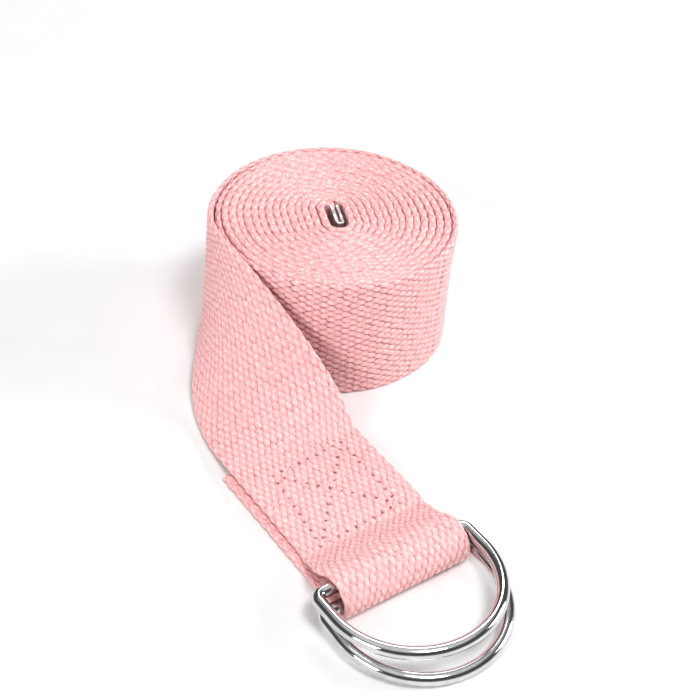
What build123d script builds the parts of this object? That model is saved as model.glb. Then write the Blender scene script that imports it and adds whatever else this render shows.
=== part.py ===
from build123d import *
import math
import os

# Stretching strap: one webbing, rolled up and standing on its edge, with two
# D-rings sewn into the outer end and a metal tip crimped on the inner end.
# Millimetres. Origin on the roll's axis at floor level, +X along the ring bars,
# -Y from the roll towards the rings, +Z up.

# --- webbing ---
STRAP_WIDTH = 38.0
STRAP_T = 1.8

# --- roll: straight passes joined by half circles, slightly flattened inside ---
TURNS = 15
TURN_PITCH = 2.11
FIRST_LEFT = 3.9
FIRST_RIGHT = 3.85
START_OFFSET = 0.35
CORE_LEFT = 3.55
CORE_STRETCH = 4.5
INNER_STRETCH = 4.0
LAST_ARC_DEG = 145.9
ROLL_TURN_DEG = -21.6

# --- metal end tip ---
TIP_SHEET = 0.7
TIP_GAP = 1.0
TIP_LENGTH = 9.3
TIP_MOUTH = 4.4
TIP_RECESS = 1.0

# --- lap and eye around the ring bars ---
TOP_X = -41.8
EYE_X = -43.7
LEAD_END_Y = -48.0
UNDERLAP_END_Y = -43.0
UNDERLAP_EYE_Y = -88.0
RAMP_FOOT_Y = -78.5
RAMP_FOOT_R = 4.0
SHIFT_START_Y = -86.0
LOOP_Y = -93.1
LOOP_R = 5.4
BAR_CLEARANCE = 0.25

# --- D-rings ---
WIRE_R = 1.7
RING_X = -45.1
BOW_R = 22.5
SIDE_LENGTH = 5.9
CORNER_R = 2.4
LOWER_BAR_R = WIRE_R + BAR_CLEARANCE
LOWER_BAR_Y = LOOP_Y - LOOP_R + LOWER_BAR_R
LOWER_BAR_Z = STRAP_T + LOWER_BAR_R
UPPER_BAR_Y = -93.3
UPPER_BAR_Z = 7.25
LOWER_TILT_DEG = 3.75
UPPER_TILT_DEG = -1.5

# --- box and cross seam ---
STITCH_PITCH = 3.0
STITCH_LENGTH = 2.4
STITCH_WIDTH = 0.6
STITCH_HEIGHT = 0.3
SEAM_BOX = [(-52.2, -50.6), (-29.7, -49.3), (-29.6, -75.9), (-55.2, -77.9)]

# Sections through the twisted span between the roll and the lap: its lower and upper
# edge on the webbing's middle surface, as the webbing turns from upright to flat.
LEAD_EDGES = [
    ((-33.5, 17.0, 1.0), (-32.5, 14.5, 39.5)),
    ((-44.0, 3.0, 3.0), (-35.0, -4.5, 39.5)),
    ((-54.0, -12.0, 2.0), (-31.0, -21.0, 30.5)),
    ((-59.5, -29.5, 1.0), (-25.0, -34.0, 16.0)),
    ((-60.5, -38.5, 2.0), (-23.0, -40.0, 8.5)),
]

HALF_T = STRAP_T / 2
HALF_W = STRAP_WIDTH / 2
TIP_BEND_Y = TIP_MOUTH - TIP_LENGTH + TIP_SHEET + TIP_GAP / 2


def spiral_arcs():
    """Half circles of the rolled webbing: centre, middle radius, start angle, sweep."""
    arcs = []
    here = START_OFFSET
    for step in range(2 * TURNS + 1):
        stretch = INNER_STRETCH * (1 - step / (2 * TURNS))
        turn = step // 2
        if step == 0:
            there = -CORE_LEFT
            centre = ((here + there) / 2, CORE_STRETCH)
            start = 0
        elif step % 2 == 0:
            there = -(FIRST_LEFT + TURN_PITCH * turn)
            centre = ((here + there) / 2, stretch)
            start = 0
        else:
            there = FIRST_RIGHT + TURN_PITCH * turn
            centre = ((here + there) / 2, -stretch)
            start = 180
        sweep = 180 if step < 2 * TURNS else LAST_ARC_DEG
        arcs.append((centre, abs(there - here) / 2, start, sweep))
        here = there
    return arcs


def polar(centre, radius, degrees):
    """Point on a circle in the roll's own plane."""
    angle = math.radians(degrees)
    return (centre[0] + radius * math.cos(angle), centre[1] + radius * math.sin(angle))


def spiral_side(offset):
    """One side of the rolled webbing, from the mouth of the tip to its outer end."""
    edges = []
    last = (START_OFFSET + offset, TIP_MOUTH)
    for centre, radius, start, sweep in spiral_arcs():
        first = polar(centre, radius + offset, start)
        if math.dist(last, first) > 0.001:
            edges.append(Line(last, first))
        edges.append(CenterArc((*centre, 0), radius + offset, start, sweep))
        last = polar(centre, radius + offset, start + sweep)
    return edges


def webbing_roll():
    """Rolled length, its inner end pressed thin and trimmed where the tip grips it."""
    outer = spiral_side(HALF_T)
    inner = spiral_side(-HALF_T)
    inner_end = Line(outer[0] @ 0, inner[0] @ 0)
    outer_end = Line(outer[-1] @ 1, inner[-1] @ 1)
    rolled = extrude(make_face([*outer, *inner, inner_end, outer_end]), STRAP_WIDTH)
    grip = TIP_MOUTH - TIP_BEND_Y
    height = STRAP_WIDTH - 2 * TIP_RECESS
    tongue = Box(TIP_GAP, grip, height)
    place = Pos(START_OFFSET, TIP_BEND_Y + grip / 2, STRAP_WIDTH / 2)
    return Rot(0, 0, ROLL_TURN_DEG) * (rolled + place * tongue)


def end_tip():
    """Thin strip folded round the webbing's inner end, open towards the roll."""
    bend = TIP_BEND_Y
    edges = []
    for radius in (TIP_GAP / 2, TIP_GAP / 2 + TIP_SHEET):
        centre = (START_OFFSET, bend, 0)
        edges.append(CenterArc(centre, radius, 180, 180))
        for side in (-radius, radius):
            edges.append(Line((START_OFFSET + side, bend), (START_OFFSET + side, TIP_MOUTH)))
    for side in (-1, 1):
        near = START_OFFSET + side * TIP_GAP / 2
        far = near + side * TIP_SHEET
        edges.append(Line((near, TIP_MOUTH), (far, TIP_MOUTH)))
    return Rot(0, 0, ROLL_TURN_DEG) * extrude(make_face(edges), STRAP_WIDTH)


def lead_section(low, high, along):
    """Rectangular cut of the webbing between its two edges."""
    out = along.cross(high - low).normalized() * HALF_T
    return Wire.make_polygon([low + out, high + out, high - out, low - out])


def webbing_lead():
    centre, radius, start, sweep = spiral_arcs()[-1]
    end = start + sweep + ROLL_TURN_DEG
    middle = Vector(*centre, 0).rotate(Axis.Z, ROLL_TURN_DEG)
    heading = Vector(-math.sin(math.radians(end)), math.cos(math.radians(end)), 0)
    first = middle + Vector(*polar((0, 0), radius, end), 0)
    lows = [first]
    highs = [first + Vector(0, 0, STRAP_WIDTH)]
    for low, high in LEAD_EDGES:
        lows.append(Vector(*low))
        highs.append(Vector(*high))
    flat_z = STRAP_T + HALF_T
    lows.append(Vector(TOP_X - HALF_W, LEAD_END_Y, flat_z))
    highs.append(Vector(TOP_X + HALF_W, LEAD_END_Y, flat_z))
    sections = [lead_section(lows[0], highs[0], heading)]
    for i in range(1, len(lows) - 1):
        along = (lows[i + 1] + highs[i + 1]) - (lows[i - 1] + highs[i - 1])
        sections.append(lead_section(lows[i], highs[i], along))
    sections.append(lead_section(lows[-1], highs[-1], Vector(0, -1, 0)))
    return Solid.make_loft(sections)


def slab(middle_x, y_from, y_to, z_from):
    """Flat length of webbing."""
    length = abs(y_to - y_from)
    centre = (middle_x, (y_from + y_to) / 2, z_from + HALF_T)
    return Pos(*centre) * Box(STRAP_WIDTH, length, STRAP_T)


def ramp_slope():
    """Slope in degrees of the straight ramp between the loop and its foot."""
    across = RAMP_FOOT_Y - LOOP_Y
    up = STRAP_T + RAMP_FOOT_R - LOWER_BAR_Z
    reach = math.hypot(across, up)
    slope = math.asin((LOOP_R + RAMP_FOOT_R) / reach) - math.atan2(up, across)
    return math.degrees(slope)


def eye_side(offset):
    """Inner (offset 0) or outer side of the eye in the Y-Z plane, bottom to ramp foot."""
    slope = ramp_slope()
    plane = Plane(origin=(EYE_X - STRAP_WIDTH, 0, 0), x_dir=(0, 1, 0), z_dir=(1, 0, 0))
    bottom = LOWER_BAR_Z - LOWER_BAR_R - offset
    foot = (RAMP_FOOT_Y, STRAP_T + RAMP_FOOT_R, 0)
    loop_arc = CenterArc((LOOP_Y, LOWER_BAR_Z, 0), LOOP_R + offset, 180, -90 - slope)
    foot_arc = CenterArc(foot, RAMP_FOOT_R - offset, 270 - slope, slope)
    edges = [
        Line((UNDERLAP_EYE_Y, bottom), (LOWER_BAR_Y, bottom)),
        CenterArc((LOWER_BAR_Y, LOWER_BAR_Z, 0), LOWER_BAR_R + offset, 270, -90),
        loop_arc,
        Line(loop_arc @ 1, foot_arc @ 0),
        foot_arc,
    ]
    return [plane * edge for edge in edges]


def webbing_eye():
    """Fold around both bars; the ramp behind them shifts sideways to the top layer."""
    inner = eye_side(0)
    outer = eye_side(STRAP_T)
    ends = [Line(inner[0] @ 0, outer[0] @ 0), Line(inner[-1] @ 1, outer[-1] @ 1)]
    profile = make_face([*inner, *outer, *ends])
    wide = extrude(profile, 2 * STRAP_WIDTH, dir=(1, 0, 0))
    far_y = LOOP_Y - 2 * LOOP_R
    plan = [
        (EYE_X - HALF_W, far_y),
        (EYE_X + HALF_W, far_y),
        (EYE_X + HALF_W, SHIFT_START_Y),
        (TOP_X + HALF_W, RAMP_FOOT_Y),
        (TOP_X - HALF_W, RAMP_FOOT_Y),
        (EYE_X - HALF_W, SHIFT_START_Y),
    ]
    outline = make_face(Polyline(*plan, close=True))
    tall = extrude(outline, 2 * STRAP_WIDTH, both=True)
    return wide & tall


def seam(z_from):
    """Box and cross of separate stitches lying on or in one face of the lap."""
    top_left, top_right, low_right, low_left = SEAM_BOX
    lines = [
        (top_left, top_right),
        (top_right, low_right),
        (low_right, low_left),
        (low_left, top_left),
        (top_right, low_left),
        (top_left, low_right),
    ]
    stitches = []
    for start, end in lines:
        count = round(math.dist(start, end) / STITCH_PITCH)
        turn = math.degrees(math.atan2(end[1] - start[1], end[0] - start[0]))
        shape = extrude(SlotOverall(STITCH_LENGTH, STITCH_WIDTH), STITCH_HEIGHT)
        for i in range(count):
            share = (i + 0.5) / count
            x = start[0] + share * (end[0] - start[0])
            y = start[1] + share * (end[1] - start[1])
            stitches.append(Pos(x, y, z_from) * Rot(0, 0, turn) * shape)
    return Part() + stitches


def d_ring(bar_y, bar_z, tilt):
    """Closed wire ring: straight bar on the X axis, short sides and a round bow."""
    straight = BOW_R - CORNER_R
    bow_y = -CORNER_R - SIDE_LENGTH
    path = Wire([
        Line((0, 0), (straight, 0)),
        CenterArc((straight, -CORNER_R, 0), CORNER_R, 90, -90),
        Line((BOW_R, -CORNER_R), (BOW_R, bow_y)),
        CenterArc((0, bow_y, 0), BOW_R, 0, -180),
        Line((-BOW_R, bow_y), (-BOW_R, -CORNER_R)),
        CenterArc((-straight, -CORNER_R, 0), CORNER_R, 180, -90),
        Line((-straight, 0), (0, 0)),
    ])
    wire = sweep(Plane.YZ * Circle(WIRE_R), path)
    return Pos(RING_X, bar_y, bar_z) * Rot(tilt, 0, 0) * wire


bobbin_thread = seam(0)
underlap = slab(EYE_X, UNDERLAP_EYE_Y, UNDERLAP_END_Y, 0) - bobbin_thread

NODES = {
    "webbing_roll": webbing_roll(),
    "webbing_lead": webbing_lead(),
    "webbing_top_layer": slab(TOP_X, RAMP_FOOT_Y, LEAD_END_Y, STRAP_T),
    "webbing_eye": webbing_eye(),
    "webbing_underlap": underlap,
    "box_stitch_needle_thread": seam(2 * STRAP_T),
    "box_stitch_bobbin_thread": bobbin_thread,
    "end_tip": end_tip(),
    "d_ring_upper": d_ring(UPPER_BAR_Y, UPPER_BAR_Z, UPPER_TILT_DEG),
    "d_ring_lower": d_ring(LOWER_BAR_Y, LOWER_BAR_Z, LOWER_TILT_DEG),
}

os.makedirs("parts", exist_ok=True)
for name, shape in NODES.items():
    export_step(shape, f"parts/{name}.step")
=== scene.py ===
import math

import bpy
import numpy as np
from mathutils import Matrix

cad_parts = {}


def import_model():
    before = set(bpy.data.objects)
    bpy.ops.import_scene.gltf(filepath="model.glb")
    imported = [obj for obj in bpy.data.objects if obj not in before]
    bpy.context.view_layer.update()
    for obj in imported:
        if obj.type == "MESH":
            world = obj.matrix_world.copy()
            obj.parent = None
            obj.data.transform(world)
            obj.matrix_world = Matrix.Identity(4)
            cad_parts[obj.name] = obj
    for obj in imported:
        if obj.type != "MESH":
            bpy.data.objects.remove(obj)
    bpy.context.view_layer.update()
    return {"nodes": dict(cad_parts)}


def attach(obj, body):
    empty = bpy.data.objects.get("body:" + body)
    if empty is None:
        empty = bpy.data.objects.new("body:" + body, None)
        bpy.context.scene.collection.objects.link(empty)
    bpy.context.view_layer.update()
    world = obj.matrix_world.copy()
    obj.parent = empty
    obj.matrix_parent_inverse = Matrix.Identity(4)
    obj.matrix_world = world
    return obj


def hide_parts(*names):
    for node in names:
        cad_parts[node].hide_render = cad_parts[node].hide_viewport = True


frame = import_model()

MM = 0.001

# --- webbing, in millimetres ---
WIDTH = 38.0
HALF_T = 0.9  # half the thickness of the CAD's webbing
BASE_T = 0.48  # half the thickness below the raised floats
RELIEF = 0.46  # height of a float
ACROSS = 1.93  # pitch of the floats across the webbing
ALONG = 4.0  # and along it
EDGE_R = 0.75
SELVEDGE = WIDTH / 2 - EDGE_R - 0.15  # where the rounded edge starts
EDGE_GIRTH = 0.75  # millimetres of weave for each radian round the edge
SEWN_GRIP = 0.25  # share of the relief that the seam presses flat
HOLE_DEPTH = 0.50

# --- roll ---
TURNS = 15
TURN_PITCH = 2.11
FIRST_LEFT = 3.9
FIRST_RIGHT = 3.85
START_OFFSET = 0.35
START_Q = -3.5
CORE_LEFT = 3.55
CORE_STRETCH = 4.5
INNER_STRETCH = 4.0
TIP_GRIP = 4.4 - START_Q
LAST_ARC = math.radians(145.9)
ROLL_TURN = math.radians(-21.6)

# --- lap and eye ---
TOP_X = -41.8
EYE_X = -43.7
LEAD_END_Y = -48.0
RAMP_FOOT_Y = -78.5
RAMP_FOOT_R = 4.0
UNDERLAP_END_Y = -43.0
LOOP_Y = -93.1
LOOP_R = 5.4
LOWER_BAR_R = 1.95
BAR_Y = LOOP_Y - LOOP_R + LOWER_BAR_R
BAR_Z = 2 * HALF_T + LOWER_BAR_R
FLAT_Z = 3 * HALF_T

# --- seam ---
SEAM_BOX = [(-52.2, -50.6), (-29.7, -49.3), (-29.6, -75.9), (-55.2, -77.9)]
STITCH_PITCH = 3.0
SEAM_R = 0.60
HOLE_R = 0.40
THREAD_R = 0.125
PLY_OFFSET = 0.105

# Lower and upper edge of the twisted span at five sections, on the webbing's middle surface.
LEAD_EDGES = np.array([
    [(-33.5, 17.0, 1.0), (-32.5, 14.5, 39.5)],
    [(-44.0, 3.0, 3.0), (-35.0, -4.5, 39.5)],
    [(-54.0, -12.0, 2.0), (-31.0, -21.0, 30.5)],
    [(-59.5, -29.5, 1.0), (-25.0, -34.0, 16.0)],
    [(-60.5, -38.5, 2.0), (-23.0, -40.0, 8.5)],
])


def smooth(x, low, high):
    t = np.clip((x - low) / (high - low), 0, 1)
    return t * t * (3 - 2 * t)


def norm(v):
    return v / np.maximum(np.linalg.norm(v, axis=-1, keepdims=True), 1e-9)


# ---------------------------------------------------------------- centre line

def roll_points(step=0.1):
    """Centre line of the rolled webbing in plan, closely spaced."""
    pts = [np.array([[START_OFFSET, START_Q]])]
    here = START_OFFSET
    for k in range(2 * TURNS + 1):
        stretch = INNER_STRETCH * (1 - k / (2 * TURNS))
        if k == 0:
            there, centre_q, start = -CORE_LEFT, CORE_STRETCH, 0.0
        elif k % 2 == 0:
            there, centre_q, start = -(FIRST_LEFT + TURN_PITCH * (k // 2)), stretch, 0.0
        else:
            there, centre_q, start = FIRST_RIGHT + TURN_PITCH * (k // 2), -stretch, math.pi
        radius = abs(there - here) / 2
        sweep = math.pi if k < 2 * TURNS else LAST_ARC
        a = start + np.linspace(0, sweep, max(24, int(radius * sweep / step)))
        pts.append(np.stack([(here + there) / 2 + radius * np.cos(a), centre_q + radius * np.sin(a)], 1))
        here = there
    p = np.concatenate(pts)
    c, s = math.cos(ROLL_TURN), math.sin(ROLL_TURN)
    return p @ np.array([[c, s], [-s, c]])


def spline(knots, values, at, first, last):
    """Cubic spline through values with given end slopes."""
    n = len(knots)
    h = np.diff(knots)
    a = np.zeros((n, n))
    b = np.zeros((n,) + values.shape[1:])
    a[0, 0] = a[-1, -1] = 1
    b[0], b[-1] = first, last
    for i in range(1, n - 1):
        a[i, i - 1], a[i, i + 1] = h[i], h[i - 1]
        a[i, i] = 2 * (h[i] + h[i - 1])
        before, after = (values[i] - values[i - 1]) / h[i - 1], (values[i + 1] - values[i]) / h[i]
        b[i] = 3 * (h[i] * before + h[i - 1] * after)
    m = np.linalg.solve(a, b.reshape(n, -1)).reshape(b.shape)
    i = np.clip(np.searchsorted(knots, at, side="right") - 1, 0, n - 2)
    t = (at - knots[i]) / h[i]
    sh = (-1,) + (1,) * (values.ndim - 1)
    t, hh = t.reshape(sh), h[i].reshape(sh)
    return (
        (2 * t ** 3 - 3 * t ** 2 + 1) * values[i]
        + (t ** 3 - 2 * t ** 2 + t) * hh * m[i]
        + (3 * t ** 2 - 2 * t ** 3) * values[i + 1]
        + (t ** 3 - t ** 2) * hh * m[i + 1]
    )


def lead_points(start, heading, step=0.1):
    """Lower and upper edge lines of the twisted span."""
    first = np.array([[(*start, 0.0), (*start, WIDTH)]])
    last = np.array([[(TOP_X - WIDTH / 2, LEAD_END_Y, FLAT_Z), (TOP_X + WIDTH / 2, LEAD_END_Y, FLAT_Z)]])
    e = np.concatenate([first, LEAD_EDGES, last])
    mid = e.mean(1)
    knots = np.concatenate([[0], np.cumsum(np.linalg.norm(np.diff(mid, axis=0), axis=1))])
    at = np.linspace(0, knots[-1], int(knots[-1] / step))
    d0 = np.array([heading[0], heading[1], 0.0])
    d1 = np.array([0.0, -1.0, 0.0])
    return spline(knots, e, at, np.stack([d0, d0]), np.stack([d1, d1]))


def eye_points(step=0.1):
    """Centre line of the lap, ramp, loop and underlap: y, z, from the lead to the cut end."""
    across = RAMP_FOOT_Y - LOOP_Y
    rise = 2 * HALF_T + RAMP_FOOT_R - BAR_Z
    slope = math.asin((LOOP_R + RAMP_FOOT_R) / math.hypot(across, rise)) - math.atan2(rise, across)

    def arc(cy, cz, radius, a0, a1):
        a = np.linspace(a0, a1, max(8, int(radius * abs(a1 - a0) / step)))
        return np.stack([cy + radius * np.cos(a), cz + radius * np.sin(a)], 1)

    half = math.pi / 2
    flat = np.arange(LEAD_END_Y, RAMP_FOOT_Y, -step)
    under = np.arange(BAR_Y, UNDERLAP_END_Y, step)
    foot = arc(RAMP_FOOT_Y, 2 * HALF_T + RAMP_FOOT_R, RAMP_FOOT_R - HALF_T, -half, -half - slope)
    loop = arc(LOOP_Y, BAR_Z, LOOP_R + HALF_T, half - slope, 2 * half)
    ramp = np.linspace(foot[-1], loop[0], 90)
    parts = [
        np.column_stack([flat, np.full(len(flat), FLAT_Z)]),
        foot,
        ramp[1:-1],
        loop,
        arc(BAR_Y, BAR_Z, LOWER_BAR_R + HALF_T, 2 * half, 3 * half),
        np.column_stack([under, np.full(len(under), HALF_T)]),
    ]
    return np.concatenate(parts)


def build_path():
    """Middle point and width direction of the whole webbing against its length."""
    roll = roll_points()
    heading = norm(roll[-1] - roll[-2])
    p_roll = np.column_stack([roll, np.full(len(roll), WIDTH / 2)])
    w_roll = np.tile([0.0, 0.0, 1.0], (len(roll), 1))
    lead = lead_points(roll[-1], heading)
    p_lead, w_lead = lead.mean(1), norm(lead[:, 1] - lead[:, 0])
    yz = eye_points()
    n = len(yz)
    went_down = np.arange(n) > np.argmin(yz[:, 0])
    shift = np.where(went_down, 1.0, smooth(-yz[:, 0], 74.0, 89.0))
    sway = 0.8 * np.exp(-((yz[:, 0] + 88.0) / 4.0) ** 2)
    x = TOP_X + (EYE_X - TOP_X) * shift - np.where(went_down, 0.0, sway)
    p_eye = np.column_stack([x, yz])
    w_eye = np.tile([1.0, 0.0, 0.0], (n, 1))
    p = np.concatenate([p_roll, p_lead[1:], p_eye[1:]])
    w = np.concatenate([w_roll, w_lead[1:], w_eye[1:]])
    keep = np.concatenate([[True], np.linalg.norm(np.diff(p, axis=0), axis=1) > 1e-4])
    p, w = p[keep], w[keep]
    s = np.concatenate([[0], np.cumsum(np.linalg.norm(np.diff(p, axis=0), axis=1))])
    marks = {}
    marks["lead"] = s[np.argmin(np.linalg.norm(p - p_roll[-1], axis=1))]
    marks["lap"] = s[np.argmin(np.linalg.norm(p - p_lead[-1], axis=1))]
    marks["end"] = s[-1]
    return s, p, w, marks


PATH_S, PATH_P, PATH_W, MARKS = build_path()


def frames(s):
    """Middle point, length, width and outward directions at distances s."""
    p = np.stack([np.interp(s, PATH_S, PATH_P[:, k]) for k in range(3)], 1)
    ahead = np.stack([np.interp(s + 0.15, PATH_S, PATH_P[:, k]) for k in range(3)], 1)
    behind = np.stack([np.interp(s - 0.15, PATH_S, PATH_P[:, k]) for k in range(3)], 1)
    w = norm(np.stack([np.interp(s, PATH_S, PATH_W[:, k]) for k in range(3)], 1))
    t = norm(ahead - behind)
    n = norm(np.cross(t, w))
    return p, t, w, n


# ---------------------------------------------------------------- weave relief

def hash01(i, j, k=0):
    """Repeatable number from 0 to 1 for a whole-number place."""
    v = np.sin(i * 127.1 + j * 311.7 + k * 74.7) * 43758.5453
    return v - np.floor(v)


def lens(a, b):
    """Height of a raised float: a rounded six-sided dome between its six neighbours."""
    a, b = np.abs(a), np.abs(b)
    m = (a ** 3.2 + ((b + 0.4 * a) / 0.755) ** 3.2) ** (1 / 3.2)
    return np.clip(1 - m ** 2, 0, 1) ** 0.55


def floats(u, v, flip):
    """Height (0 to 1) and random tint of the warp floats at place u across, v along."""
    best = np.zeros(np.broadcast(u, v).shape)
    tint = np.full(best.shape, 0.5)
    for half in (0.0, 0.5):
        a = u / ACROSS + half + 0.5 * flip
        b = v / ALONG + half
        ia, ib = np.round(a), np.round(b)
        r1, r2, r3 = hash01(ia, ib, half), hash01(ia, ib, half + 3), hash01(ia, ib, half + 7)
        dv = (b - ib) * ALONG + 0.40 * (r2 - 0.5)
        du = (a - ia) * ACROSS + 0.10 * (r1 - 0.5) + 0.05 * dv
        h = lens(du / (ACROSS / 2), dv / (ALONG / 2)) * (0.88 + 0.18 * r3)
        tint = np.where(h > best, r1, tint)
        best = np.maximum(best, h)
    return best, tint


def seam_lines():
    """The box and its two diagonals, as pairs of corners."""
    a, b, c, d = SEAM_BOX
    return [(a, b), (b, c), (c, d), (d, a), (b, d), (a, c)]


def seam_stitches():
    """Start and end of each stitch in plan."""
    out = []
    for start, end in seam_lines():
        start, end = np.array(start), np.array(end)
        count = round(float(np.linalg.norm(end - start)) / STITCH_PITCH)
        for i in range(count):
            out.append((start + (end - start) * i / count, start + (end - start) * (i + 1) / count))
    return np.array(out)


STITCHES = seam_stitches()


def seam_press(xy):
    """How far the seam pulls the cloth in at plan points, 0 to 1 for lines and for holes."""
    line = np.zeros(len(xy))
    for start, end in seam_lines():
        start, end = np.array(start), np.array(end)
        d = end - start
        t = np.clip(((xy - start) @ d) / (d @ d), 0, 1)
        r = np.linalg.norm(xy - start - t[:, None] * d, axis=1)
        line = np.maximum(line, np.exp(-(r / SEAM_R) ** 2))
    hole = np.zeros(len(xy))
    for p in np.unique(STITCHES.reshape(-1, 2).round(3), axis=0):
        depth = 0.58 + 0.42 * hash01(p[0], p[1])
        hole = np.maximum(hole, depth * np.exp(-(np.linalg.norm(xy - p, axis=1) / HOLE_R) ** 2))
    return line, hole


# ---------------------------------------------------------------- webbing mesh

def section(outer_step, inner_step):
    """Closed outline of the webbing's cut, finely divided on its outer face."""
    flat = SELVEDGE
    xo = np.linspace(-flat, flat, int(round(2 * flat / outer_step)) + 1)
    xi = np.linspace(flat, -flat, int(round(2 * flat / inner_step)) + 1)
    return outline(xo, xi, (13, 13), BASE_T)


def outline(xo, xi, edge_counts, base):
    """Rows of x, y, normal, face (1 outer, 0 edge, -1 inner) and place across the cloth."""
    rows = [(x, base, 0, 1, 1, x) for x in xo]
    flat = SELVEDGE
    for a in np.linspace(math.pi / 2, -math.pi / 2, edge_counts[0] + 1)[1:-1]:
        c, sn = math.cos(a), math.sin(a)
        rows.append((flat + EDGE_R * c, base * sn, c, sn, 0, flat + EDGE_GIRTH * (math.pi / 2 - a)))
    rows += [(x, -base, 0, -1, -1, x) for x in xi]
    for a in np.linspace(-math.pi / 2, -3 * math.pi / 2, edge_counts[1] + 1)[1:-1]:
        c, sn = math.cos(a), math.sin(a)
        rows.append((-flat + EDGE_R * c, base * sn, c, sn, 0, -flat - EDGE_GIRTH * (a + 3 * math.pi / 2)))
    return np.array(rows)


def strip(name, s, sec, ends=("flat", "flat"), lift=None, relief=RELIEF, calm=1.0):
    """One length of webbing as a closed mesh with its weave in relief."""
    p, t, w, n = frames(s)
    x, y, nx, ny, face, across = sec.T
    u, v = np.meshgrid(x, s)
    high_out, tint_out = floats(across, v, 0)
    high_in, tint_in = floats(across, v, 1)
    high = np.where(face >= 0, high_out, high_in)
    tint = np.where(face >= 0, tint_out, tint_in)
    push = relief * high * (1 - 0.5 * np.abs(nx))
    # calm lifts the low heights that the material reads, so these turns get less painted crease shade
    high = 1 - calm * (1 - high)
    sink = np.zeros_like(push)
    hole = np.zeros_like(push)
    trim = 1 - 0.055 * (1 - smooth(v, TIP_GRIP, TIP_GRIP + 1.0))
    thin = 1 - 0.50 * (1 - smooth(v, TIP_GRIP, TIP_GRIP + 2.0))
    push = push * thin
    centre = p[:, None, :] + (u * trim)[..., None] * w[:, None, :]
    if lift is not None:
        rise, out = lift(u, v)
        centre = centre + rise[..., None] * w[:, None, :] + out[..., None] * n[:, None, :]
    over_seam = (v > MARKS["lap"] - 6) & (face * np.ones_like(v) > 0)
    plan = centre[..., :2]
    seam_zone = over_seam & (plan[..., 1] < -47) & (plan[..., 1] > -81)
    if seam_zone.any():
        line, dot = seam_press(plan[seam_zone])
        sink[seam_zone], hole[seam_zone] = line, dot
    push = push * (1 - SEWN_GRIP * sink) - HOLE_DEPTH * hole
    # The material paints shade from this height: a little along the seam lines and near-black in the
    # needle holes.
    high = high * (1 - 0.10 * sink) * (1 - hole) - 0.9 * hole
    off = push[..., None] * (nx[None, :, None] * w[:, None, :] + ny[None, :, None] * n[:, None, :])
    verts = centre + (y[None, :] * thin)[..., None] * n[:, None, :] + off
    count, k = u.shape
    grid = verts.reshape(-1, 3)
    idx = np.arange(count * k).reshape(count, k)
    nxt = np.roll(idx, -1, axis=1)
    quads = np.stack([idx[:-1], idx[1:], nxt[1:], nxt[:-1]], -1).reshape(-1, 4)
    weave = np.stack([u, v, high], -1).reshape(-1, 3)
    tints = tint.reshape(-1)
    extra_v, extra_w, extra_t, extra_q, extra_tri, sharp = [], [], [], [], [], []
    base = count * k
    for which, row in ((0, 0), (1, count - 1)):
        ring = idx[row]
        sign = -1 if which == 0 else 1
        if ends[which] == "round":
            last = ring
            for a in np.linspace(0, math.pi / 2, 5)[1:]:
                c, sn = math.cos(a), math.sin(a)
                mid = p[row] + (grid[ring] - p[row]) @ w[row][:, None] * w[row]
                ringv = mid + (grid[ring] - mid) * c + sign * t[row] * 0.55 * sn
                ragged = 0.16 * (hash01(np.round(u[row] / 0.5), 4.0 + which) - 0.5)
                ringv = ringv + sign * t[row] * (ragged * sn)[:, None]
                new = base + len(extra_v) + np.arange(k)
                extra_v.extend(ringv)
                extra_w.extend(np.column_stack([u[row], np.full(k, s[row]), high[row] * c]))
                extra_t.extend(tint[row])
                q = np.stack([last, new, np.roll(new, -1), np.roll(last, -1)], -1)
                extra_q.append(q if which == 1 else q[:, ::-1])
                last = new
            ring = last
        middle = base + len(extra_v)
        extra_v.append(grid[ring].mean(0) if ends[which] == "flat" else np.mean(extra_v[-k:], axis=0))
        extra_w.append((0, s[row], 0.2))
        extra_t.append(0.5)
        tri = np.stack([ring, np.full(k, middle), np.roll(ring, -1)], -1)
        extra_tri.append(tri if which == 1 else tri[:, ::-1])
        if ends[which] == "flat":
            sharp.append(ring)
    verts = np.concatenate([grid, np.array(extra_v)]) * MM
    weave = np.concatenate([weave, np.array(extra_w)])
    tints = np.concatenate([tints, np.array(extra_t)])
    quads = np.concatenate([quads] + extra_q)
    tris = np.concatenate(extra_tri)
    return mesh_object(name, verts, quads, tris, weave, tints, sharp)


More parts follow.
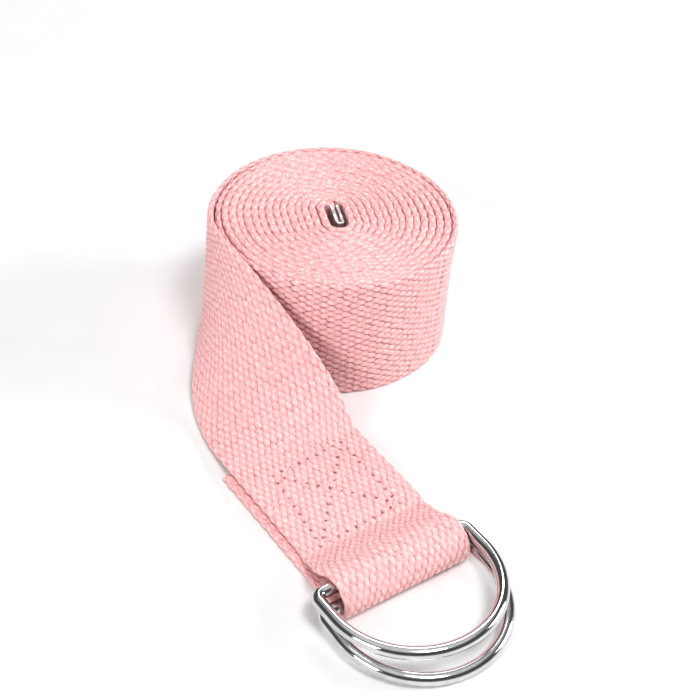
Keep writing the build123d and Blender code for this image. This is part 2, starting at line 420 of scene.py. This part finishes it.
def mesh_object(name, verts, quads, tris, weave=None, tints=None, sharp=()):
    """A smooth mesh with the weave's attributes, and sharp edges round its flat ends."""
    mesh = bpy.data.meshes.new(name)
    nq, nt = len(quads), len(tris)
    mesh.vertices.add(len(verts))
    mesh.vertices.foreach_set("co", np.asarray(verts, np.float32).ravel())
    mesh.loops.add(nq * 4 + nt * 3)
    mesh.polygons.add(nq + nt)
    loops = np.concatenate([np.asarray(quads, np.int32).ravel(), np.asarray(tris, np.int32).ravel()])
    mesh.loops.foreach_set("vertex_index", loops)
    starts = np.concatenate([np.arange(nq) * 4, nq * 4 + np.arange(nt) * 3]).astype(np.int32)
    mesh.polygons.foreach_set("loop_start", starts)
    mesh.update(calc_edges=True)
    mesh.polygons.foreach_set("use_smooth", np.ones(nq + nt, bool))
    if weave is not None:
        layer = mesh.attributes.new("weave", "FLOAT_VECTOR", "POINT")
        layer.data.foreach_set("vector", np.asarray(weave, np.float32).ravel())
        layer = mesh.attributes.new("tint", "FLOAT", "POINT")
        layer.data.foreach_set("value", np.asarray(tints, np.float32))
    if sharp:
        on = np.zeros(len(verts), bool)
        for ring in sharp:
            on[ring] = True
        ends = np.zeros(len(mesh.edges) * 2, np.int32)
        mesh.edges.foreach_get("vertices", ends)
        ends = ends.reshape(-1, 2)
        marked = on[ends].all(1)
        mesh.attributes.new("sharp_edge", "BOOLEAN", "EDGE").data.foreach_set("value", marked)
    mesh.validate()
    obj = bpy.data.objects.new(name, mesh)
    bpy.context.scene.collection.objects.link(obj)
    return obj


def steps(a, b, size):
    """Evenly spaced distances from a to b, about size apart."""
    return np.linspace(a, b, max(3, int(round((b - a) / size)) + 1))


def uneven_rim(u, v):
    """Rise and outward lean of a hand-wound roll's turns: not quite level, last one flared."""
    wave = 0.16 * np.sin(v / 41.0 + 1.0) + 0.12 * np.sin(v / 17.3) + 0.07 * np.sin(v / 6.1 + 2.0)
    calm = smooth(v, 0, 30) * (1 - smooth(v, MARKS["lead"] - 60, MARKS["lead"]))
    x = np.interp(v, PATH_S, PATH_P[:, 0])
    y = np.interp(v, PATH_S, PATH_P[:, 1])
    side = np.exp(-((np.arctan2(y, x) + 0.60) / 0.75) ** 2)
    flare = side * smooth(v, MARKS["lead"] - 96 - 1100, MARKS["lead"] - 96)
    flare = flare * (1 - smooth(v, MARKS["lead"] - 60, MARKS["lead"]))
    return wave * calm * smooth(u, -10, 19), 0.8 * flare * smooth(u, 2, 19)


LAST_TURN = MARKS["lead"] - 226.0
HALF_TURN = MARKS["lead"] - 112.0
MIDDLE_TURN = MARKS["lead"] * 0.46
edge_only = np.array([-SELVEDGE, -17.0, 0.0, 16.2, 17.1, 17.6, SELVEDGE])
rim_section = outline(edge_only, edge_only[::-1], (13, 4), 0.80)
full = section(0.22, 6.0)

# Inside the roll only the upper rim shows, so those turns have a plain section and low relief.
inner = {"lift": uneven_rim, "relief": 0.34, "calm": 0.80}
core_steps = steps(0, MIDDLE_TURN, 0.36)
core = strip("webbing_roll_core", core_steps, rim_section, ("round", "flat"), **inner)
middle = strip("webbing_roll_middle", steps(MIDDLE_TURN, LAST_TURN, 0.38), rim_section, **inner)
outer_back = strip("webbing_roll_outer_back", steps(LAST_TURN, HALF_TURN, 0.38), full, lift=uneven_rim)
front_steps = steps(HALF_TURN, MARKS["lead"], 0.38)
outer_front = strip("webbing_roll_outer_front", front_steps, full, lift=uneven_rim)
lead_steps = steps(MARKS["lead"], MARKS["lap"], 0.38)
lead = strip("webbing_lead_cloth", lead_steps, section(0.22, 0.32), calm=0.86)
eye_steps = steps(MARKS["lap"], MARKS["end"], 0.40)
eye = strip("webbing_eye_cloth", eye_steps, section(0.22, 0.50), ("flat", "round"), calm=0.84)


# ---------------------------------------------------------------- seam threads

def tube(points, radius, sides):
    """Vertices and faces of a round tube along points, ends closed."""
    n = len(points)
    t = norm(np.gradient(points, axis=0))
    ref = np.array([0.0, 0.0, 1.0]) if abs(t[n // 2][2]) < 0.8 else np.array([1.0, 0.0, 0.0])
    side = norm(np.cross(t, ref))
    up = np.cross(side, t)
    a = np.linspace(0, 2 * np.pi, sides, endpoint=False)
    rad = np.broadcast_to(radius, (n,))
    spoke = np.cos(a)[None, :, None] * side[:, None] + np.sin(a)[None, :, None] * up[:, None]
    ring = points[:, None] + rad[:, None, None] * spoke
    verts = ring.reshape(-1, 3)
    idx = np.arange(n * sides).reshape(n, sides)
    nxt = np.roll(idx, -1, axis=1)
    quads = np.stack([idx[:-1], nxt[:-1], nxt[1:], idx[1:]], -1).reshape(-1, 4)
    verts = np.concatenate([verts, points[:1], points[-1:]])
    c0, c1 = n * sides, n * sides + 1
    tris = np.concatenate([
        np.stack([np.full(sides, c0), nxt[0], idx[0]], -1),
        np.stack([np.full(sides, c1), idx[-1], nxt[-1]], -1),
    ])
    return verts, quads, tris


def thread(name, surface_z, side):
    """Two-ply stitches that dip into the cloth at both ends."""
    vs, qs, ts, base = [], [], [], 0
    for i, (a, b) in enumerate(STITCHES):
        g = np.linspace(0.0, 1.0, 15)
        f = 0.11 + 0.78 * g
        wob = 0.08 * (hash01(float(i), 1.0) - 0.5)
        mid = a + (b - a) * f[:, None]
        d = (b - a) / np.linalg.norm(b - a)
        nrm = np.array([-d[1], d[0]])
        arch = np.sin(np.pi * g) ** 0.45
        z = surface_z + side * (-0.62 + 0.47 * arch)
        line = np.column_stack([mid + nrm * (wob * np.sin(np.pi * f))[:, None], z])
        turn = f * 2 * np.pi * 2.6 + i
        for ply in (0.0, np.pi):
            sideways = np.cos(turn + ply)[:, None] * np.array([*nrm, 0.0])
            upward = np.sin(turn + ply)[:, None] * np.array([0, 0, 1.0])
            verts, quads, tris = tube(line + PLY_OFFSET * (sideways + upward), THREAD_R, 8)
            vs.append(verts)
            qs.append(quads + base)
            ts.append(tris + base)
            base += len(verts)
    v = np.concatenate(vs)
    if side < 0:
        v[:, 2] = np.maximum(v[:, 2], 0.02)
    return mesh_object(name, v * MM, np.concatenate(qs), np.concatenate(ts))


needle = thread("needle_thread_stitches", 2 * 2 * HALF_T - 0.10, 1)
bobbin = thread("bobbin_thread_stitches", 0.30, -1)


# ---------------------------------------------------------------- materials

class Nodes:
    """A material and short ways to add its nodes."""

    def __init__(self, name):
        self.mat = bpy.data.materials.new(name)
        self.mat.use_nodes = True
        self.tree = self.mat.node_tree
        self.bsdf = self.tree.nodes["Principled BSDF"]

    def add(self, kind, **values):
        node = self.tree.nodes.new(kind)
        for key, value in values.items():
            if key.startswith("in_"):
                node.inputs[key[3:].replace("_", " ")].default_value = value
            else:
                setattr(node, key, value)
        return node

    def link(self, a, b):
        self.tree.links.new(a, b)

    def math(self, op, a, b=None, c=None):
        node = self.add("ShaderNodeMath", operation=op)
        for socket, value in zip(node.inputs, (a, b, c)):
            if value is None:
                continue
            if isinstance(value, (int, float)):
                socket.default_value = value
            else:
                self.link(value, socket)
        return node.outputs[0]

    def mix(self, factor, a, b, blend="MIX"):
        node = self.add("ShaderNodeMix", data_type="RGBA", blend_type=blend)
        for socket, value in ((node.inputs[0], factor), (node.inputs[6], a), (node.inputs[7], b)):
            if isinstance(value, (int, float)):
                socket.default_value = value
            elif isinstance(value, tuple):
                socket.default_value = (*value, 1)
            else:
                self.link(value, socket)
        return node.outputs[2]

    def noise(self, vector, scale, detail=2.0, rough=0.5):
        node = self.add("ShaderNodeTexNoise")
        node.inputs["Scale"].default_value = scale
        node.inputs["Detail"].default_value = detail
        node.inputs["Roughness"].default_value = rough
        self.link(vector, node.inputs["Vector"])
        return node.outputs["Fac"]

    def ramp(self, fac, stops):
        node = self.add("ShaderNodeMapRange", interpolation_type="SMOOTHSTEP")
        for key, value in zip(("From Min", "From Max", "To Min", "To Max"), stops):
            node.inputs[key].default_value = value
        self.link(fac, node.inputs["Value"])
        return node.outputs[0]


def set_sockets(bsdf, **values):
    for key, value in values.items():
        bsdf.inputs[key.replace("_", " ")].default_value = value


def webbing_material():
    m = Nodes("pink_cotton_webbing")
    weave = m.add("ShaderNodeAttribute", attribute_name="weave").outputs["Vector"]
    tint = m.add("ShaderNodeAttribute", attribute_name="tint").outputs["Fac"]
    part = m.add("ShaderNodeSeparateXYZ")
    m.link(weave, part.inputs[0])
    u, v, high = part.outputs
    place = m.add("ShaderNodeTexCoord").outputs["Object"]
    # the yarn's plies run slantwise, 25 degrees off the webbing's length
    across_ply = m.math("ADD", m.math("MULTIPLY", u, 0.90), m.math("MULTIPLY", v, 0.43))
    along_ply = m.math("SUBTRACT", m.math("MULTIPLY", v, 0.90), m.math("MULTIPLY", u, 0.43))
    dash = m.add("ShaderNodeCombineXYZ")
    m.link(m.math("MULTIPLY", across_ply, 2.3), dash.inputs[0])
    m.link(m.math("MULTIPLY", along_ply, 0.9), dash.inputs[1])
    # Painted shade: the colour darkens to a deep pink in the creases between the floats, where the float
    # height is low.
    colour = m.mix(m.ramp(high, (0.00, 0.50, 0.0, 1.0)), (0.250, 0.045, 0.056), (0.930, 0.475, 0.480))
    # Painted highlight: the tops of the floats are lightened towards pale pink.
    colour = m.mix(m.ramp(high, (0.62, 1.00, 0.0, 0.9)), colour, (0.995, 0.690, 0.675))
    fleck = m.noise(dash.outputs[0], 1.0, 2.0, 0.65)
    # Painted highlight: random slanted dashes along the plies are lightened almost to white, as glints.
    colour = m.mix(m.ramp(fleck, (0.52, 0.66, 0.0, 0.52)), colour, (1.000, 0.880, 0.840))
    colour = m.mix(m.ramp(fleck, (0.36, 0.49, 0.50, 0.0)), colour, (0.800, 0.310, 0.325))
    per_float = m.ramp(tint, (0.0, 1.0, 0.0, 0.22))
    colour = m.mix(per_float, colour, (0.880, 0.430, 0.450))
    broad = m.noise(place, 38.0, 2.0)
    colour = m.mix(m.ramp(broad, (0.35, 0.70, 0.0, 0.16)), colour, (0.860, 0.430, 0.450))
    # Painted shade in the grooves between the plies: the colour darkens where the ply bump is lowest.
    ply = m.math("SINE", m.math("MULTIPLY", across_ply, 2 * math.pi / 0.62))
    colour = m.mix(m.ramp(ply, (-1.0, 0.2, 0.26, 0.0)), colour, (0.800, 0.320, 0.335))
    # the needle's holes, painted near-black as the shade inside them
    colour = m.mix(m.ramp(high, (-0.85, 0.00, 1.0, 0.0)), colour, (0.150, 0.035, 0.042))
    m.link(colour, m.bsdf.inputs["Base Color"])
    fibre = m.noise(place, 5200.0, 2.0, 0.7)
    relief = m.math("ADD", m.math("MULTIPLY", ply, 0.5), m.math("MULTIPLY", fibre, 1.2))
    bump = m.add("ShaderNodeBump")
    bump.inputs["Strength"].default_value = 0.80
    bump.inputs["Distance"].default_value = 0.00005
    m.link(relief, bump.inputs["Height"])
    m.link(bump.outputs[0], m.bsdf.inputs["Normal"])
    m.link(m.ramp(fibre, (0.3, 0.7, 0.78, 0.95)), m.bsdf.inputs["Roughness"])
    set_sockets(m.bsdf, Sheen_Weight=0.22, Sheen_Roughness=0.45, Specular_IOR_Level=0.28)
    m.bsdf.inputs["Sheen Tint"].default_value = (1.0, 0.86, 0.86, 1)
    return m.mat


def thread_material():
    m = Nodes("pink_sewing_thread")
    place = m.add("ShaderNodeTexCoord").outputs["Object"]
    fibre = m.noise(place, 6000.0, 2.0, 0.6)
    colour = m.mix(m.ramp(fibre, (0.3, 0.7, 0.0, 1.0)), (0.900, 0.460, 0.470), (0.975, 0.600, 0.600))
    m.link(colour, m.bsdf.inputs["Base Color"])
    m.link(m.ramp(fibre, (0.3, 0.7, 0.50, 0.66)), m.bsdf.inputs["Roughness"])
    bump = m.add("ShaderNodeBump")
    bump.inputs["Strength"].default_value = 0.3
    bump.inputs["Distance"].default_value = 0.00003
    m.link(fibre, bump.inputs["Height"])
    m.link(bump.outputs[0], m.bsdf.inputs["Normal"])
    set_sockets(m.bsdf, Sheen_Weight=0.3, Specular_IOR_Level=0.4)
    return m.mat


def chrome_material():
    m = Nodes("ring_chrome")
    place = m.add("ShaderNodeTexCoord").outputs["Object"]
    haze = m.noise(place, 900.0, 3.0, 0.6)
    fine = m.noise(place, 240.0, 2.0)
    colour = m.mix(m.ramp(fine, (0.35, 0.7, 0.0, 1.0)), (0.62, 0.62, 0.63), (0.72, 0.72, 0.725))
    m.link(colour, m.bsdf.inputs["Base Color"])
    m.link(m.ramp(haze, (0.35, 0.75, 0.05, 0.13)), m.bsdf.inputs["Roughness"])
    bump = m.add("ShaderNodeBump")
    bump.inputs["Strength"].default_value = 0.12
    bump.inputs["Distance"].default_value = 0.00006
    m.link(fine, bump.inputs["Height"])
    m.link(bump.outputs[0], m.bsdf.inputs["Normal"])
    set_sockets(m.bsdf, Metallic=1.0)
    return m.mat


def tip_material():
    m = Nodes("tip_nickel")
    place = m.add("ShaderNodeTexCoord").outputs["Object"]
    stretch = m.add("ShaderNodeMapping")
    stretch.inputs["Scale"].default_value = (4000.0, 4000.0, 260.0)
    m.link(place, stretch.inputs["Vector"])
    lines = m.noise(stretch.outputs[0], 1.0, 3.0, 0.6)
    wear = m.noise(place, 420.0, 3.0, 0.6)
    colour = m.mix(m.ramp(wear, (0.42, 0.60, 0.0, 1.0)), (0.26, 0.26, 0.27), (0.58, 0.58, 0.59))
    m.link(colour, m.bsdf.inputs["Base Color"])
    m.link(m.ramp(lines, (0.3, 0.7, 0.30, 0.50)), m.bsdf.inputs["Roughness"])
    bump = m.add("ShaderNodeBump")
    bump.inputs["Strength"].default_value = 0.35
    bump.inputs["Distance"].default_value = 0.00004
    m.link(lines, bump.inputs["Height"])
    m.link(bump.outputs[0], m.bsdf.inputs["Normal"])
    set_sockets(m.bsdf, Metallic=1.0)
    return m.mat


def floor_material():
    m = Nodes("studio_floor")
    place = m.add("ShaderNodeTexCoord").outputs["Object"]
    grain = m.noise(place, 60.0, 2.0)
    colour = m.mix(m.ramp(grain, (0.3, 0.7, 0.0, 1.0)), (0.86, 0.86, 0.86), (0.88, 0.88, 0.88))
    m.link(colour, m.bsdf.inputs["Base Color"])
    set_sockets(m.bsdf, Roughness=0.9, Specular_IOR_Level=0.1)
    return m.mat


def paint(obj, material):
    obj.data.materials.clear()
    obj.data.materials.append(material)


cloth = webbing_material()
for obj in (core, middle, outer_back, outer_front, lead, eye):
    paint(obj, cloth)
    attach(obj, "strap")
sewing = thread_material()
for obj in (needle, bobbin):
    paint(obj, sewing)
    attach(obj, "strap")

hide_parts("webbing_roll")
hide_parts("webbing_roll")
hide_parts("webbing_roll")
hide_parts("webbing_roll")
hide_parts("webbing_lead")
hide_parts("webbing_top_layer", "webbing_eye", "webbing_underlap")
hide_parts("box_stitch_needle_thread")
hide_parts("box_stitch_bobbin_thread")


chrome = chrome_material()
for node in ("d_ring_upper", "d_ring_lower"):
    paint(frame["nodes"][node], chrome)
paint(frame["nodes"]["end_tip"], tip_material())


# ---------------------------------------------------------------- studio

def plane(name, size, location, material):
    h = size / 2
    verts = np.array([(-h, -h, 0), (h, -h, 0), (h, h, 0), (-h, h, 0)]) + np.array(location)
    obj = mesh_object(name, verts, np.array([[0, 1, 2, 3]]), np.zeros((0, 3), int))
    paint(obj, material)
    return obj


plane("floor", 6.0, (0, 0, -0.00002), floor_material())


def look_at(location, target):
    back = norm(np.array(location, float) - np.array(target, float))
    side = norm(np.cross([0, 0, 1.0], back))
    up = np.cross(back, side)
    m = Matrix.Identity(4)
    for i in range(3):
        m[i][0], m[i][1], m[i][2], m[i][3] = side[i], up[i], back[i], location[i]
    return m


def area_light(name, location, target, size, power, colour=(1, 1, 1)):
    data = bpy.data.lights.new(name, "AREA")
    data.shape = "RECTANGLE"
    data.size, data.size_y = size
    data.energy = power
    data.color = colour
    obj = bpy.data.objects.new(name, data)
    bpy.context.scene.collection.objects.link(obj)
    obj.matrix_world = look_at(location, target)
    return obj


target = (-0.025, -0.045, 0.01)
area_light("key", (0.0, -0.45, 1.00), target, (0.30, 0.30), 5.1)
area_light("back_light", (0.48, 0.58, 0.72), target, (0.30, 0.30), 2.2)
area_light("left_fill", (-0.90, -0.25, 0.45), target, (0.4, 0.4), 5.0)
area_light("right_fill", (0.85, -0.45, 0.40), target, (0.40, 0.40), 7.0)


def world():
    w = bpy.data.worlds.new("studio")
    bpy.context.scene.world = w
    w.use_nodes = True
    tree = w.node_tree
    bg = tree.nodes["Background"]
    coord = tree.nodes.new("ShaderNodeTexCoord")
    part = tree.nodes.new("ShaderNodeSeparateXYZ")
    tree.links.new(coord.outputs["Generated"], part.inputs[0])
    ramp = tree.nodes.new("ShaderNodeValToRGB")
    tree.links.new(part.outputs["Z"], ramp.inputs["Fac"])
    els = ramp.color_ramp.elements
    els[0].position, els[0].color = 0.02, (0.60, 0.60, 0.60, 1)
    els[1].position, els[1].color = 1.0, (1.0, 1.0, 1.0, 1)
    for pos, grey in ((0.16, 0.30), (0.36, 0.08), (0.74, 0.12), (0.88, 0.85)):
        e = els.new(pos)
        e.color = (grey, grey, grey, 1)
    tree.links.new(ramp.outputs["Color"], bg.inputs["Color"])
    bg.inputs["Strength"].default_value = 0.85


world()

cam = bpy.data.objects.new("camera", bpy.data.cameras.new("camera"))
bpy.context.scene.collection.objects.link(cam)
cam.data.sensor_width = 36.0
cam.data.lens = 1500.0 / 700.0 * 36.0
cam.data.clip_start = 0.01
cam.data.clip_end = 20.0
forward = norm(np.array([0.4618, 0.6095, -0.6444]))
right = np.array([0.8229, -0.5656, 0.0547])
right = norm(right - forward * (right @ forward))
up = np.cross(right, forward)
place = np.array([-206.71, -284.03, 283.75]) * MM
m = Matrix.Identity(4)
for i in range(3):
    m[i][0], m[i][1], m[i][2], m[i][3] = right[i], up[i], -forward[i], place[i]
cam.matrix_world = m
bpy.context.scene.camera = cam

scene = bpy.context.scene
scene.view_settings.view_transform = "Standard"
scene.view_settings.look = "None"
scene.view_settings.exposure = 0.0

print("webbing length mm", {k: round(float(v), 1) for k, v in MARKS.items()})
